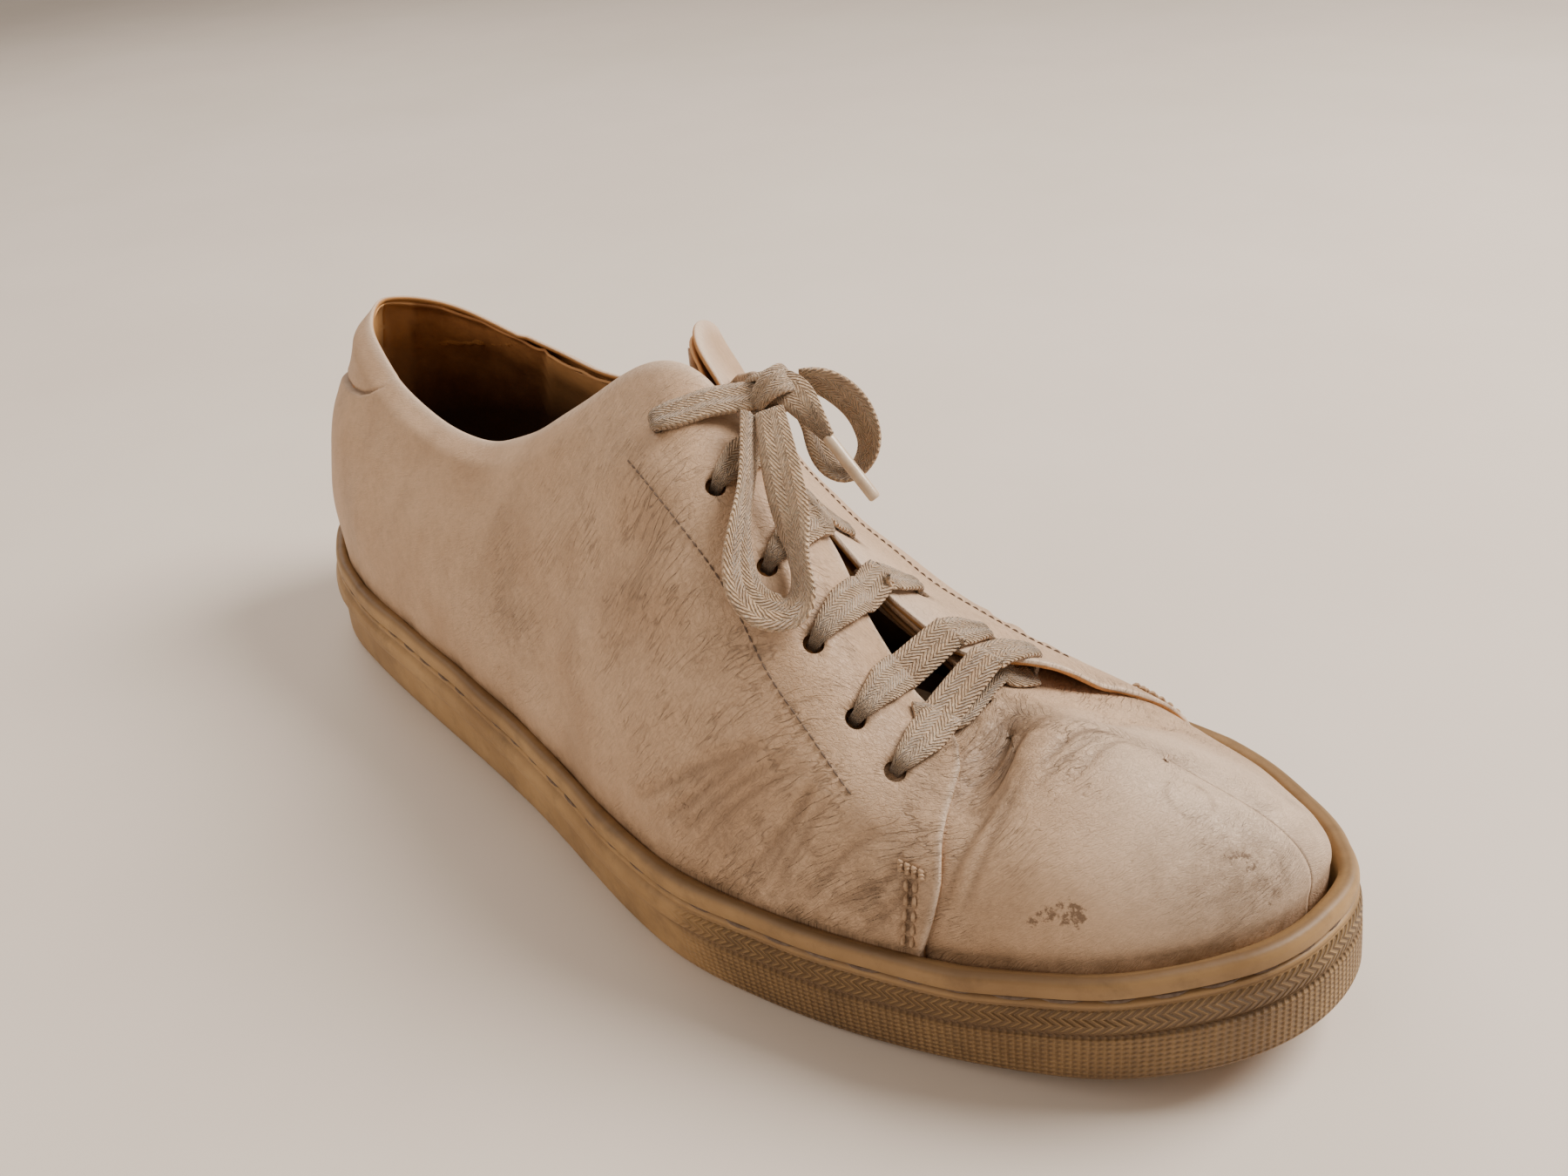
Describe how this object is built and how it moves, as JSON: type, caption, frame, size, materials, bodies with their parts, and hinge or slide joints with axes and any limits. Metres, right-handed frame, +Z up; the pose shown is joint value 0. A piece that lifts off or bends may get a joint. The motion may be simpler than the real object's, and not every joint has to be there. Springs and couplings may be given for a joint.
{
  "type": "low leather sneaker, right shoe",
  "caption": "Worn low leather sneaker for the right foot, with a gum rubber cup sole, open collar and flat cotton laces tied in a bow.",
  "frame": {"origin": "centre of the sole's box in plan, on the floor it stands on", "axes": "+X towards the toe, +Y to the medial side, +Z up"},
  "size_m": [0.2972, 0.1039, 0.1069],
  "materials": {
    "aglet": "pale plastic film tip",
    "gum_sole": "yellowed gum rubber, scuffed and dirty",
    "laces": "flat woven cotton, beige",
    "tan_lining": "tan lining leather, darkened by wear",
    "upper_leather": "worn off-white leather gone beige-grey, creased and scuffed"
  },
  "bodies": {
    "root": {"sole": "gum_sole", "insole": "tan_lining", "upper": "upper_leather", "tongue": "upper_leather", "lace_bar_1": "laces", "lace_bar_2": "laces", "lace_bar_3": "laces", "lace_bar_4": "laces", "lace_bar_5": "laces", "lace_bar_6": "laces", "lace_knot": "laces", "lace_loop_near": "laces", "lace_loop_far": "laces", "lace_end": "laces", "lace_aglet": "aglet"}
  },
  "joints": []
}
